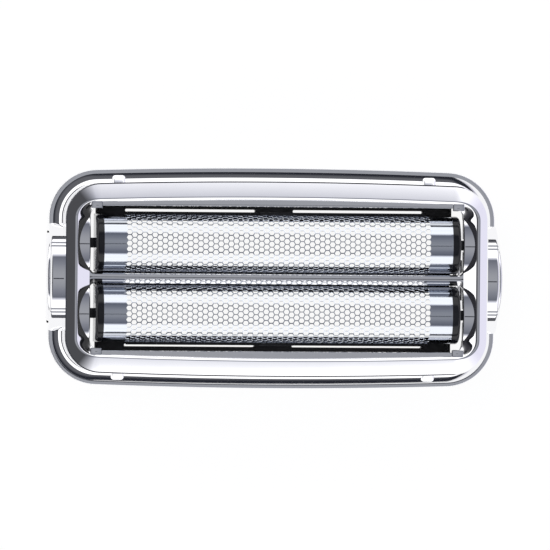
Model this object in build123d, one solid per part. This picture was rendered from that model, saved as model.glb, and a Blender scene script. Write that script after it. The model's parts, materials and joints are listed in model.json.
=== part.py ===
from build123d import *
import math
import os

# Twin-foil shaver head. X runs along the foils, +Y to the rear foil, +Z out through the foils.
# Millimetres; the origin lies under the middle of the frame's bottom edge.

# Foils: two arched sheets side by side
foil_pitch = 9.1
foil_radius = 3.7
foil_thickness = 0.1
foil_length = 45.2
foil_rise = 2.4
foil_leg = 2.4
cell_columns = 15
cell_rows = 4
cell_radius = 1.25
cell_step_x = 2.62
cell_step_angle = 38.0
cell_depth = 0.4

# Carriers under the foils: black end caps, guide tabs, spring pockets and two rails
cap_length = 1.05
cap_proud = 0.05
cap_bevel = 0.3
block_length = 3.1
carrier_drop = 0.6
seat_gap = 0.03
rail_width = 0.67
rail_height = 1.8
rail_lap = 0.5
tab_width = 1.3
tab_length = 1.2
tab_height = 1.5
tab_play = 0.15
tab_end_play = 0.2
tab_roof_gap = 0.1
tab_cover = 0.8
pocket_depth = 2.0
pocket_half = 1.1

# Strips that clamp the foil edges; the outer one carries a clip
strip_thickness = 0.35
strip_height = 1.2
strip_inset = 3.15
clip_length = 4.5
clip_height = 2.6

# Plated frame: rim wall, crowned rim and the skirt flange round its foot
end_margin = 3.8
side_margin = 3.2
rim_bow = 0.55
rim_corner = 4.4
wall = 1.3
crown_width = 2.05
crown_rise = 0.85
crest_step = 0.2
crest_rise = 0.45
flange_reach = 1.78
flange_height = 5.0
ledge_width = 0.55
ledge_drop = 0.95
ledge_bevel = 0.12
shoulder_width = 0.37
shoulder_drop = 0.18

# Deck inside the rim, with one window for each foil and a bar between them
deck_height = 12.7
deck_thickness = 1.2
deck_lap = 0.3
window_gap = 1.2
window_end_side_gap = 0.75
window_end_gap = 0.6
bar_gap = 0.15
bar_drop = 0.95
bar_thickness = 1.2
bar_bevel = 0.42
flare_width = 5.6
flare_depth = 1.5
flare_fillet = 0.45
corner_pad_length = 1.5
corner_pad_width = 0.9
corner_pad_height = 0.35
corner_pad_bevel = 0.12

# Ends of the frame: a slope that falls from a rounded crest, and a low hump behind each foil
end_crest_inset = 1.15
end_crest_round = 0.6
end_crest_drop = 0.16
slope_angle = 32.0
slope_corner = 3.6
hump_radius = 7.0
hump_half = 3.6
hump_drop = 0.1
end_block_drop = 2.3

# Bumps that hold a travel cap
bump_length = 1.7
bump_height = 1.3
bump_reach = 0.95
bump_bevel = 0.35
bump_spread = 20.3
bump_lift = 1.2

# Retainer, the ribs and catches that hold it, and the float springs
float_travel = 1.2
stop_gap = 0.2
retainer_end_gap = 2.9
retainer_side_gap = 0.6
retainer_corner = 1.2
retainer_base = 5.0
retainer_thickness = 1.6
retainer_play = 0.05
cutter_window_margin = 2.8
cutter_window_width = 6.0
rinse_slot_width = 0.5
rinse_slot_gap = 0.35
rinse_slot_end = 0.2
peg_half = 0.42
peg_height = 0.8
float_spring_radius = 0.82
float_spring_wire = 0.3
float_spring_turns = 2.5
coil_steps = 6
rib_spread = 14.0
rib_length = 1.2
rib_overlap = 1.2
catch_length = 3.0
catch_height = 0.7
catch_overlap = 0.25

# Snap ridges inside the skirt for the shaver's neck
ridge_spread = 9.0
ridge_length = 4.0
ridge_base = 1.0
ridge_height = 0.8
ridge_reach = 0.6

# Release buttons, one at each end
button_half = 5.8
button_top = 9.4
button_bottom = 1.4
arch_ease = 0.6
button_proud = 2.3
button_crown = 48.0
button_bevel = 0.3
button_corner = 1.0
button_play = 0.2
button_seat = 0.1
dish_radius = 9.0
dish_depth = 0.5
dish_height = 3.6
wing_lap = 1.1
wing_bottom = 2.0
wing_top = 7.4
wing_thickness = 1.0
nose_height = 0.8
nose_reach = 0.5
surround_border = 1.2
surround_cover = 0.8
surround_proud = 1.85
surround_bevel = 0.35
button_spring_radius = 0.8
button_spring_wire = 0.28
button_spring_turns = 2.5
button_spring_depth = 2.3
button_spring_drop = 0.2
button_pocket_half = 1.0
button_pocket_floor = 0.5
button_boss_half = 1.6

# How far a joined piece runs into the one that carries it
bury = 0.2

# Derived sizes
foil_offset = foil_pitch / 2
foil_inside = foil_radius - foil_thickness
foil_crest = deck_height + foil_rise
arch_height = foil_crest - foil_radius
foil_foot = arch_height - foil_leg
band_start = foil_length / 2
carrier_length = foil_length + 2 * cap_length
carrier_base = foil_foot - carrier_drop
block_start = carrier_length / 2 - block_length
pocket_roof = carrier_base + pocket_depth
strip_length = foil_length - 2 * strip_inset
window_half = carrier_length / 2 + window_end_gap
window_outer = foil_offset + foil_radius + window_gap
window_end_outer = foil_offset + foil_radius + window_end_side_gap
rim_length = carrier_length + 2 * end_margin
rim_width = 2 * (window_outer + side_margin)
wall_inside = rim_length / 2 - wall
crest_height = deck_height + crest_rise
rim_wall_top = crest_height - crown_rise
deck_under = deck_height - deck_thickness
deck_inset = crown_width + crest_step + deck_lap
deck_reach = deck_inset + deck_lap
bar_width = 2 * (foil_offset - foil_radius - bar_gap)
bar_top = deck_height - bar_drop
hump_top = deck_height - hump_drop
end_block_base = deck_height - end_block_drop
end_crest = rim_length / 2 - end_crest_inset
end_crest_height = rim_wall_top + crown_rise * end_crest_inset / crown_width
slope_start = end_crest - end_crest_round
slope_top = end_crest_height - end_crest_drop
slope_foot = slope_top - (slope_start - window_half) * math.tan(math.radians(slope_angle))
tab_top = hump_top - tab_cover - tab_roof_gap
stop_height = carrier_base - float_travel - stop_gap
retainer_top = retainer_base + retainer_thickness
retainer_length = 2 * (wall_inside - retainer_end_gap)
retainer_width = rim_width - 2 * (wall + retainer_side_gap)
cutter_window_length = retainer_length - 2 * cutter_window_margin
float_spring_spread = carrier_length / 2 - block_length / 2
button_face = rim_length / 2 + button_proud
surround_face = rim_length / 2 + surround_proud
surround_half = button_half + surround_border
button_arch = button_half + arch_ease
surround_arch = surround_half + arch_ease
surround_top = button_top + surround_cover
wing_half = button_half + wing_lap
wing_inner = wall_inside - button_seat - wing_thickness
button_axis = (retainer_base + stop_height) / 2 - button_spring_drop


def bowed_outline(length, width, corner, bow):
    """Rounded rectangle whose long sides bulge a little."""
    x, y = length / 2, width / 2
    rear = ThreePointArc((-x, y - bow), (0, y), (x, y - bow))
    right = Line((x, y - bow), (x, bow - y))
    front = ThreePointArc((x, bow - y), (0, -y), (-x, bow - y))
    left = Line((-x, bow - y), (-x, y - bow))
    face = make_face([rear, right, front, left])
    return fillet(face.vertices(), corner)


def rounded_at(face, points, radius):
    """Round the corners of a face that lie at the given points."""
    for point in points:
        corner = face.vertices().sort_by_distance(point)[0]
        face = fillet(corner, radius)
    return face


def box(x_range, y_range, z_range):
    """Box between two limits on each axis."""
    size = [b - a for a, b in (x_range, y_range, z_range)]
    middle = [(a + b) / 2 for a, b in (x_range, y_range, z_range)]
    return Pos(*middle) * Box(*size)


def around(middle, half):
    """Limits that lie the same distance to both sides of a middle."""
    return (middle - half, middle + half)


def arch_face(half, bottom, top, radius):
    """Upright outline with straight sides under a round top, drawn across the head."""
    block = Pos(0, (bottom + top) / 2) * Rectangle(2 * half, top - bottom)
    return block & Pos(0, top - radius) * Circle(radius)


def across(face, x_start, x_end):
    """Extrude an outline drawn across the head from one X to another."""
    plane = Plane(origin=(x_start, 0, 0), x_dir=(0, 1, 0), z_dir=(1, 0, 0))
    return extrude(plane * face, x_end - x_start)


def both_ends(part):
    """A feature at the right end and its mirror image at the left end."""
    return [part, mirror(part, about=Plane.YZ)]


def four_corners(part):
    """A feature in one quarter and its mirror images in the other three."""
    pair = both_ends(part)
    return pair + [mirror(item, about=Plane.XZ) for item in pair]


def coil(radius, wire, height, turns):
    """Compression spring standing on its lower end, in short straight runs."""
    steps = round(turns * coil_steps)
    rise = (height - wire) / steps
    sections = []
    for step in range(steps + 1):
        turn = 360 * step / coil_steps
        place = Rot(0, 0, turn) * Pos(radius, 0, wire / 2 + rise * step) * Rot(90, 0, 0)
        sections.append(place * Rectangle(wire, wire))
    return loft(sections, ruled=True)


def frame_ring():
    """Skirt flange, rim wall and crowned rim as one section carried round the rim line."""
    step_out = -crown_width - crest_step
    under = flange_height - wall
    ledge = flange_height - ledge_drop
    outline = Polyline(
        (flange_reach, 0),
        (flange_reach, ledge - ledge_bevel),
        (flange_reach - ledge_bevel, ledge),
        (flange_reach - ledge_width, ledge),
        (shoulder_width, flange_height - shoulder_drop),
        (0, flange_height),
        (0, rim_wall_top),
        (-crown_width, crest_height),
        (step_out, (crest_height + deck_height) / 2),
        (step_out, deck_height),
        (-deck_reach, deck_height),
        (-deck_reach, deck_under),
        (-wall, deck_under),
        (-wall, under),
        (flange_reach - wall, under),
        (flange_reach - wall, 0),
        (flange_reach, 0),
    )
    section = make_face(outline)
    path = bowed_outline(rim_length, rim_width, rim_corner, rim_bow).wire()
    start = path @ 0
    ahead = path % 0
    outward = ahead.cross(Vector(0, 0, 1))
    if outward.dot(start) < 0:
        outward = outward * -1
    normal = outward.cross(Vector(0, 0, 1))
    plane = Plane(origin=start, x_dir=outward, z_dir=normal)
    return sweep(plane * section, path=path)


def deck():
    """Plate inside the rim, open over the foils, with small pads at its corners."""
    plan_length = rim_length - 2 * deck_inset
    plan_width = rim_width - 2 * deck_inset
    outline = bowed_outline(plan_length, plan_width, rim_corner - deck_inset, rim_bow)
    plate = extrude(Pos(0, 0, deck_under) * outline, deck_thickness)
    through = (deck_under - 1, deck_height + 1)
    plate -= box(around(0, band_start), around(0, window_outer), through)
    plate -= box(around(0, window_half), around(0, window_end_outer), through)
    pad_x = (window_half - corner_pad_length, window_half)
    pad_y = (window_end_outer, window_end_outer + corner_pad_width)
    pad = box(pad_x, pad_y, (deck_height - bury, deck_height + corner_pad_height))
    pad = chamfer(pad.faces().sort_by(Axis.Z)[-1].edges(), corner_pad_bevel)
    return plate + four_corners(pad)


def bar():
    """Bar between the foils, flared where it runs into the ends."""
    inner = window_half
    plan = Rectangle(2 * (inner + flare_depth), bar_width)
    for end in (1, -1):
        plan += Pos(end * (inner + flare_depth / 2), 0) * Rectangle(flare_depth, flare_width)
    bevel = min(bar_bevel, bar_width / 3)
    rounding = min(flare_fillet, (flare_width - bar_width) / 2 - 1.2 * bevel)
    notches = [(sx * inner, sy * bar_width / 2) for sx in (1, -1) for sy in (1, -1)]
    plan = rounded_at(plan, notches, rounding)
    solid = extrude(Pos(0, 0, bar_top - bar_thickness) * plan, bar_thickness)
    return chamfer(solid.faces().sort_by(Axis.Z)[-1].edges(), bevel)


def end_scoops():
    """Space over the slopes at both ends, inside a rounded plan."""
    top = crest_height + wall
    rim_end = rim_length / 2
    rise = end_crest_drop / end_crest_round
    side = Polyline(
        (window_half, top),
        (window_half, slope_foot),
        (slope_start, slope_top),
        (rim_end, slope_top + rise * (rim_end - slope_start)),
        (rim_end, top),
        close=True,
    )
    plan = bowed_outline(rim_length, rim_width - 2 * crown_width, slope_corner, rim_bow)
    prism = extrude(Pos(0, 0, end_block_base) * plan, top - end_block_base)
    return both_ends(extrude(Plane.XZ * make_face(side), rim_width / 2, both=True) & prism)


def end_humps():
    """Low rounded humps that close the frame behind the ends of each foil."""
    height = hump_top - end_block_base
    block = Pos(foil_offset, end_block_base + height / 2) * Rectangle(2 * hump_half, height)
    face = block & Pos(foil_offset, hump_top - hump_radius) * Circle(hump_radius)
    return four_corners(across(face, window_half, wall_inside + bury))


def outer_frame():
    """The whole plated moulding."""
    body = frame_ring() + deck()
    body -= end_scoops()
    block_x = (window_half, wall_inside + bury)
    block = box(block_x, around(0, window_end_outer), (end_block_base, slope_foot - bury / 2))
    body += both_ends(block) + end_humps() + [bar()]
    surround = across(arch_face(surround_half, 0, surround_top, surround_arch), wall_inside, surround_face)
    front = surround.faces().sort_by(Axis.X)[-1]
    surround = chamfer([e for e in front.edges() if e.center().Z > bury], surround_bevel)
    body += both_ends(surround)
    boss_base = tab_top - tab_height - float_travel - bury
    boss = box(block_x, around(foil_offset, tab_width / 2 + wall), (boss_base, deck_under))
    body += four_corners(boss)
    outside_y = rim_width / 2 - wall / 2
    rib_x = around(rib_spread, rib_length / 2)
    rib_y = (retainer_width / 2 - rib_overlap, outside_y)
    body += four_corners(box(rib_x, rib_y, (retainer_top + retainer_play, deck_under + bury)))
    catch_x = around(rib_spread, catch_length / 2)
    catch_y = (retainer_width / 2 - catch_overlap, outside_y)
    catch_top = retainer_base - retainer_play
    body += four_corners(box(catch_x, catch_y, (catch_top - catch_height, catch_top)))
    skirt_y = rim_width / 2 + flange_reach - wall
    ridge_x = around(ridge_spread, ridge_length / 2)
    ridge_y = (skirt_y - ridge_reach, skirt_y + wall / 2)
    body += four_corners(box(ridge_x, ridge_y, (ridge_base, ridge_base + ridge_height)))
    bump_y = rim_width / 2 - rim_bow * (2 * bump_spread / rim_length) ** 2
    bump = Box(bump_length, 2 * bump_reach, bump_height)
    bump = chamfer(bump.faces().sort_by(Axis.Y)[-1].edges(), bump_bevel)
    body += four_corners(Pos(bump_spread, bump_y, flange_height + bump_lift) * bump)
    opening = arch_face(
        button_half + button_play,
        button_bottom - button_play,
        button_top + button_play,
        button_arch + button_play,
    )
    body -= both_ends(across(opening, retainer_length / 2 + button_play, button_face))
    slot_x = (window_half - wall, carrier_length / 2 + tab_length + tab_end_play)
    slot_y = around(foil_offset, tab_width / 2 + tab_play)
    body -= four_corners(box(slot_x, slot_y, (retainer_top, tab_top + tab_roof_gap)))
    return body


def hex_cells():
    """Hexagonal holes over the arch, in staggered columns."""
    holes = []
    for column in range(cell_columns):
        rows = cell_rows - column % 2
        x = (column - (cell_columns - 1) / 2) * cell_step_x
        for row in range(rows):
            turn = math.radians((row - (rows - 1) / 2) * cell_step_angle)
            away = (0, math.sin(turn), math.cos(turn))
            centre = (x, foil_offset + foil_radius * away[1], arch_height + foil_radius * away[2])
            plane = Plane(origin=centre, x_dir=(1, 0, 0), z_dir=away)
            holes.append(extrude(plane * RegularPolygon(cell_radius, 6), cell_depth, both=True))
    return holes


def arch_section(radius, foot):
    """Half-round top on straight legs down to a foot height, centred on the rear foil."""
    top = Pos(foil_offset, arch_height) * Circle(radius)
    legs = Pos(foil_offset, (arch_height + foot) / 2) * Rectangle(2 * radius, arch_height - foot)
    below = Pos(foil_offset, arch_height - 2 * radius) * Rectangle(4 * radius, 4 * radius)
    return (top - below) + legs


def rear_foil():
    """Thin arched sheet with its hexagonal holes."""
    section = arch_section(foil_radius, foil_foot) - arch_section(foil_inside, foil_foot - 1)
    sheet = across(section, -foil_length / 2, foil_length / 2)
    return sheet - hex_cells()


def rear_carrier():
    """End blocks with guide tabs and spring pockets, joined by two rails."""
    end = carrier_length / 2
    seat = foil_inside - seat_gap
    block = across(arch_section(seat, carrier_base), block_start, band_start + bury)
    cap = across(arch_section(foil_radius + cap_proud, carrier_base), band_start, end)
    outer = cap.faces().sort_by(Axis.X)[-1]
    cap = chamfer([e for e in outer.edges() if e.center().Z > carrier_base + bury], cap_bevel)
    tab_x = (end - block_length / 2, end + tab_length)
    tab = box(tab_x, around(foil_offset, tab_width / 2), (tab_top - tab_height, tab_top))
    pocket_x = around(float_spring_spread, pocket_half)
    pocket_y = around(foil_offset, pocket_half)
    pocket = box(pocket_x, pocket_y, (carrier_base - 1, pocket_roof))
    end_block = block + cap + tab - pocket
    carrier = Part() + both_ends(end_block)
    for side in (1, -1):
        rail_y = sorted((foil_offset + side * (seat - rail_width), foil_offset + side * seat))
        carrier += box(around(0, block_start + rail_lap), rail_y, (carrier_base, carrier_base + rail_height))
    return carrier


def rear_strip(side, clip):
    """Clamping strip along one foil edge; the outer one carries the middle clip."""
    near = foil_radius + seat_gap
    y_range = sorted((foil_offset + side * near, foil_offset + side * (near + strip_thickness)))
    strip = box(around(0, strip_length / 2), y_range, (foil_foot, foil_foot + strip_height))
    if clip:
        strip += box(around(0, clip_length / 2), y_range, (foil_foot, foil_foot + clip_height))
    return strip


def cassette_retainer():
    """Inner frame that closes the head from below."""
    plan = chamfer(Rectangle(retainer_length, retainer_width).vertices(), retainer_corner)
    body = extrude(Pos(0, 0, retainer_base) * plan, retainer_thickness)
    inner = cutter_window_length / 2
    end_x = (inner, retainer_length / 2)
    peg_x = around(float_spring_spread, peg_half)
    peg_y = around(foil_offset, peg_half)
    body += four_corners(box(peg_x, peg_y, (retainer_base, retainer_top + peg_height)))
    stop_y = (foil_offset + pocket_half, foil_offset + foil_inside)
    body += four_corners(box(end_x, stop_y, (retainer_base, stop_height)))
    boss_z = (button_axis - button_pocket_half - button_pocket_floor, stop_height)
    body += both_ends(box(end_x, around(0, button_boss_half), boss_z))
    for side in (1, -1):
        window_y = around(side * foil_offset, cutter_window_width / 2)
        body -= box(around(0, inner), window_y, (retainer_base - 1, stop_height + 1))
    slot_x = (clip_length / 2 + rinse_slot_end, strip_length / 2)
    slot_outer = window_outer - rinse_slot_gap
    slot = box(slot_x, (slot_outer - rinse_slot_width, slot_outer), (retainer_base - 1, retainer_top + 1))
    body -= four_corners(slot)
    channel_x = (retainer_length / 2 - button_spring_depth, retainer_length / 2 + 1)
    channel_z = (button_axis - button_pocket_half, stop_height + 1)
    body -= both_ends(box(channel_x, around(0, button_pocket_half), channel_z))
    return body


def release_button():
    """Right-hand button: arched pad, stop wings and pushing nose."""
    face = arch_face(button_half, button_bottom, button_top, button_arch)
    spring_line = button_top - button_arch + math.sqrt(button_arch**2 - button_half**2)
    face = rounded_at(face, [(button_half, spring_line), (-button_half, spring_line)], button_corner)
    pad = across(face, wing_inner + wing_thickness / 2, button_face)
    pad &= Pos(button_face - button_crown, 0, 0) * Cylinder(button_crown, 4 * button_top)
    front = pad.faces().sort_by(Axis.X)[-1]
    pad = chamfer([e for e in front.edges() if e.center().Z > button_bottom + bury], button_bevel)
    dish_x = button_face + dish_radius - dish_depth
    pad -= Pos(dish_x, 0, dish_height) * Rot(90, 0, 0) * Cylinder(dish_radius, 4 * button_half)
    wing_x = (wing_inner, wing_inner + wing_thickness)
    pad += box(wing_x, around(0, wing_half), (wing_bottom, wing_top))
    nose_x = (wing_inner - nose_reach, wing_inner + bury)
    pad += box(nose_x, around(0, wing_half / 2), (wing_bottom, wing_bottom + nose_height))
    return pad


def button_spring():
    """Spring between the retainer's pocket and the right-hand button."""
    start = retainer_length / 2 - button_spring_depth
    spring = coil(button_spring_radius, button_spring_wire, wing_inner - start, button_spring_turns)
    return Pos(start, 0, button_axis) * Rot(0, 90, 0) * spring


def front_of(part):
    """The same piece on the front foil, turned end for end."""
    return Rot(0, 0, 180) * part


nodes = {}
nodes["outer_frame"] = outer_frame()
nodes["cassette_retainer"] = cassette_retainer()
nodes["rear_foil"] = rear_foil()
nodes["rear_foil_carrier"] = rear_carrier()
nodes["rear_foil_outer_strip"] = rear_strip(1, True)
nodes["rear_foil_inner_strip"] = rear_strip(-1, False)
for piece in ("foil", "foil_carrier", "foil_outer_strip", "foil_inner_strip"):
    nodes["front_" + piece] = front_of(nodes["rear_" + piece])
float_coil = coil(float_spring_radius, float_spring_wire, pocket_roof - retainer_top, float_spring_turns)
for row, y in (("rear", foil_offset), ("front", -foil_offset)):
    for end, x in (("left", -float_spring_spread), ("right", float_spring_spread)):
        nodes[f"{row}_{end}_float_spring"] = Pos(x, y, retainer_top) * float_coil
nodes["right_release_button"] = release_button()
nodes["left_release_button"] = mirror(nodes["right_release_button"], about=Plane.YZ)
nodes["right_button_spring"] = button_spring()
nodes["left_button_spring"] = mirror(nodes["right_button_spring"], about=Plane.YZ)

os.makedirs("parts", exist_ok=True)
for name, shape in nodes.items():
    export_step(shape, f"parts/{name}.step")
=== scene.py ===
import json
import math

import bmesh
import bpy
from mathutils import Matrix, Vector


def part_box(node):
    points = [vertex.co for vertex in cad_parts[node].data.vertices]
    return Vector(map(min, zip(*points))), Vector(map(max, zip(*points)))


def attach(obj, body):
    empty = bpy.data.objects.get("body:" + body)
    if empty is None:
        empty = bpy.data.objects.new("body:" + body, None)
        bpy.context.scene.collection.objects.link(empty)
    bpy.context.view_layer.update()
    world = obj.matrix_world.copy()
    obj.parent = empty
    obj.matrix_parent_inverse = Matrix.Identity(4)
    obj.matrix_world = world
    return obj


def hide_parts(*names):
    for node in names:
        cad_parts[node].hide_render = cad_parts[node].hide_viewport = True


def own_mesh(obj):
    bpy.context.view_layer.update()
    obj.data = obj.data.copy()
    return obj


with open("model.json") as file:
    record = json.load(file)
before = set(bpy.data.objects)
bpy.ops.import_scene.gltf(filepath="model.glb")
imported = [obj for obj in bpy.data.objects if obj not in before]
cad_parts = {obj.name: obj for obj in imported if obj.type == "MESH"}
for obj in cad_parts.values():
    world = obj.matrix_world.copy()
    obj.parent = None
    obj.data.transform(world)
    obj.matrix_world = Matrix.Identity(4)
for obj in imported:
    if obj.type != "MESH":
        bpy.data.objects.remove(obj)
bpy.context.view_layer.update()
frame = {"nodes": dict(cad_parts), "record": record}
mm = 0.001
tiny = 0.001  # what lies closer, in millimetres, is at the same place
print("frame loaded:", len(frame["nodes"]), "nodes")


def nodeBox(node):  # lowest and highest corner of a node, in millimetres
    low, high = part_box(node)
    return low / mm, high / mm


class Socket:  # a shader socket that can be used in sums
    def __init__(self, tree, out):
        self.tree = tree
        self.out = out

    @staticmethod
    def add(tree, kind, settings, inputs, output=0):
        node = tree.nodes.new(kind)
        for key, value in settings.items():
            if key == "stops":
                ramp = node.color_ramp
                while len(ramp.elements) < len(value):
                    ramp.elements.new(0.5)
                for element, (place, colour) in zip(ramp.elements, value):
                    element.position = place
                    element.color = (*colour, 1)
            else:
                setattr(node, key, value)
        for key, value in inputs.items():
            if isinstance(value, Socket):
                tree.links.new(value.out, node.inputs[key])
            else:
                node.inputs[key].default_value = value
        return Socket(tree, node.outputs[output])

    def maths(self, operation, other=0.0, swapped=False):
        pair = (other, self) if swapped else (self, other)
        return Socket.add(self.tree, "ShaderNodeMath", {"operation": operation}, {0: pair[0], 1: pair[1]})

    def __add__(self, other):
        return self.maths("ADD", other)

    def __radd__(self, other):
        return self.maths("ADD", other, True)

    def __sub__(self, other):
        return self.maths("SUBTRACT", other)

    def __rsub__(self, other):
        return self.maths("SUBTRACT", other, True)

    def __mul__(self, other):
        return self.maths("MULTIPLY", other)

    def __rmul__(self, other):
        return self.maths("MULTIPLY", other, True)

    def __truediv__(self, other):
        return self.maths("DIVIDE", other)

    def __rtruediv__(self, other):
        return self.maths("DIVIDE", other, True)

    def __abs__(self):
        return self.maths("ABSOLUTE")

    def clamped(self):
        return Socket.add(self.tree, "ShaderNodeClamp", {}, {"Value": self})


mixSockets = {"first": 6, "second": 7, "result": 2}  # a Mix node's places for colours


def blended(tree, factor, first, second, mode="MIX"):  # two colours mixed; numbers stand for plain colours
    first, second = [c if isinstance(c, Socket) else (*c, 1) for c in (first, second)]
    settings = {"data_type": "RGBA", "blend_type": mode}
    inputs = {"Factor": factor, mixSockets["first"]: first, mixSockets["second"]: second}
    return Socket.add(tree, "ShaderNodeMix", settings, inputs, mixSockets["result"])


def newFinish(name, values):
    material = bpy.data.materials.new(name)
    material.use_nodes = True
    shader = material.node_tree.nodes["Principled BSDF"]
    for key, value in values.items():
        shader.inputs[key].default_value = value
    return material, material.node_tree, shader


def feed(tree, shader, key, socket):
    tree.links.new(socket.out, shader.inputs[key])


def noise(tree, scale, detail, rough=0.5):  # noise on object coordinates, stretched along the axes
    place = Socket.add(tree, "ShaderNodeTexCoord", {}, {}, "Object")
    place = Socket.add(tree, "ShaderNodeMapping", {}, {"Vector": place, "Scale": scale})
    inputs = {"Vector": place, "Scale": 1.0, "Detail": detail, "Roughness": rough}
    return Socket.add(tree, "ShaderNodeTexNoise", {}, inputs)


def bump(tree, height, strength, distance):
    inputs = {"Strength": strength, "Distance": distance, "Height": height}
    return Socket.add(tree, "ShaderNodeBump", {}, inputs)


platedLook = {
    "light": (0.94, 0.94, 0.955),
    "dark": (0.9, 0.9, 0.92),
    "rough": 0.025,
    "haze": 0.04,
    "cloudNoise": {"scale": (160, 160, 160), "detail": 3.0},
    "hazeNoise": {"scale": (420, 90, 300), "detail": 4.0, "rough": 0.6},
    "rippleNoise": {"scale": (260, 260, 260), "detail": 2.0},
    "ripple": {"strength": 0.06, "distance": 0.00002},
}


def platedFinish(name):  # bright plate on moulded plastic, with a faint ripple and handling haze
    material, tree, shader = newFinish(name, {"Metallic": 1.0})
    cloud = noise(tree, **platedLook["cloudNoise"])
    feed(tree, shader, "Base Color", blended(tree, cloud, platedLook["dark"], platedLook["light"]))
    haze = noise(tree, **platedLook["hazeNoise"])
    feed(tree, shader, "Roughness", platedLook["rough"] + platedLook["haze"] * haze * haze)
    ripple = noise(tree, **platedLook["rippleNoise"])
    feed(tree, shader, "Normal", bump(tree, ripple, **platedLook["ripple"]))
    return material


def drawnFinish(name, look):  # bare metal with fine lines along it
    material, tree, shader = newFinish(name, {"Metallic": 1.0})
    lines = noise(tree, **look["lineNoise"])
    feed(tree, shader, "Base Color", blended(tree, lines, look["dark"], look["light"]))
    feed(tree, shader, "Roughness", look["rough"] + look["grain"] * lines)
    feed(tree, shader, "Normal", bump(tree, lines, **look["scratch"]))
    return material


foilLook = {  # thin bright nickel sheet
    "light": (0.7, 0.73, 0.79),
    "dark": (0.6, 0.63, 0.69),
    "rough": 0.05,
    "grain": 0.05,
    "lineNoise": {"scale": (60, 5200, 5200), "detail": 3.0},
    "scratch": {"strength": 0.12, "distance": 0.000003},
}

wireLook = {  # drawn spring wire
    "light": (0.66, 0.66, 0.67),
    "dark": (0.48, 0.48, 0.5),
    "rough": 0.18,
    "grain": 0.2,
    "lineNoise": {"scale": (2600, 2600, 9000), "detail": 3.0},
    "scratch": {"strength": 0.2, "distance": 0.000006},
}

glossLook = {
    "plain": {"IOR": 1.45, "Specular IOR Level": 0.35, "Coat Roughness": 0.06},
    "light": (0.011, 0.0115, 0.0145),
    "dark": (0.005, 0.0052, 0.007),
    "rough": 0.12,
    "haze": 0.12,
    "coat": 0.05,
    "coatHaze": 0.2,
    "flowNoise": {"scale": (240, 700, 700), "detail": 3.0},
    "waveNoise": {"scale": (900, 900, 900), "detail": 2.0},
    "wave": {"strength": 0.05, "distance": 0.00002},
}


def glossFinish(name):  # polished black moulding
    material, tree, shader = newFinish(name, glossLook["plain"])
    flow = noise(tree, **glossLook["flowNoise"])
    feed(tree, shader, "Base Color", blended(tree, flow, glossLook["dark"], glossLook["light"]))
    feed(tree, shader, "Roughness", glossLook["rough"] + glossLook["haze"] * flow * flow)
    feed(tree, shader, "Coat Weight", glossLook["coat"] + glossLook["coatHaze"] * flow)
    wave = noise(tree, **glossLook["waveNoise"])
    feed(tree, shader, "Normal", bump(tree, wave, **glossLook["wave"]))
    return material


mattLook = {
    "plain": {"IOR": 1.5},
    "light": (0.038, 0.038, 0.041),
    "dark": (0.022, 0.022, 0.025),
    "rough": 0.42,
    "grain": 0.18,
    "grainNoise": {"scale": (5200, 5200, 5200), "detail": 3.0},
    "cloudNoise": {"scale": (140, 140, 140), "detail": 3.0},
    "pits": {"strength": 0.3, "distance": 0.00003},
}


def mattFinish(name):  # fine spark-eroded black moulding
    material, tree, shader = newFinish(name, mattLook["plain"])
    grain = noise(tree, **mattLook["grainNoise"])
    cloud = noise(tree, **mattLook["cloudNoise"])
    feed(tree, shader, "Base Color", blended(tree, cloud, mattLook["dark"], mattLook["light"]))
    feed(tree, shader, "Roughness", mattLook["rough"] + mattLook["grain"] * grain)
    feed(tree, shader, "Normal", bump(tree, grain, **mattLook["pits"]))
    return material


platedFrame = platedFinish("platedFrame")
platedButton = platedFinish("platedButton")
foilSheet = drawnFinish("foilSheet", foilLook)
blackGloss = glossFinish("blackGloss")
blackMatt = mattFinish("blackMatt")
springWire = drawnFinish("springWire", wireLook)
print("finishes made")

seams = {"merge": 1e-7, "sharp": 32, "frameSharp": 19, "foilSharp": 40, "wireSharp": 60}  # metres, degrees


def settle(bm, sharpAngle):  # merge, point the faces outwards and mark the sharp edges
    bmesh.ops.remove_doubles(bm, verts=bm.verts[:], dist=seams["merge"])
    bmesh.ops.recalc_face_normals(bm, faces=bm.faces[:])
    for face in bm.faces:
        face.smooth = True
    limit = math.radians(sharpAngle)
    for edge in bm.edges:
        edge.smooth = not (len(edge.link_faces) == 2 and edge.calc_face_angle() > limit)


def finishPiece(name, bm, material, body, node, sharpAngle=seams["sharp"]):  # millimetres in
    bmesh.ops.scale(bm, vec=(mm, mm, mm), verts=bm.verts[:])
    settle(bm, sharpAngle)
    mesh = bpy.data.meshes.new(name)
    bm.to_mesh(mesh)
    bm.free()
    mesh.materials.append(material)
    piece = bpy.data.objects.new(name, mesh)
    bpy.context.scene.collection.objects.link(piece)
    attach(piece, body)
    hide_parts(node)
    return piece


def bevelled(bm, geom, width, segments, affect="EDGES"):
    bmesh.ops.bevel(
        bm, geom=geom, offset=width, offset_type="OFFSET", affect=affect,
        segments=segments, profile=0.5, material=-1,
    )


def quarterTurn(bm, verts, axis):
    bmesh.ops.rotate(bm, verts=verts, cent=(0, 0, 0), matrix=Matrix.Rotation(math.radians(90), 3, axis))


def newVerts(made):  # the vertices among what an operator made
    return [g for g in made if isinstance(g, bmesh.types.BMVert)]


def block(bm, low, high, width=0.0, segments=2):  # a cube between two corners, with its edges eased
    size = [b - a for a, b in zip(low, high)]
    middle = [(a + b) / 2 for a, b in zip(low, high)]
    place = Matrix.Translation(Vector(middle)) @ Matrix.Diagonal((*size, 1))
    made = bmesh.ops.create_cube(bm, size=1.0, matrix=place)
    if width:
        edges = dict.fromkeys(e for v in made["verts"] for e in v.link_edges)
        bevelled(bm, list(edges), width, segments)


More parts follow.
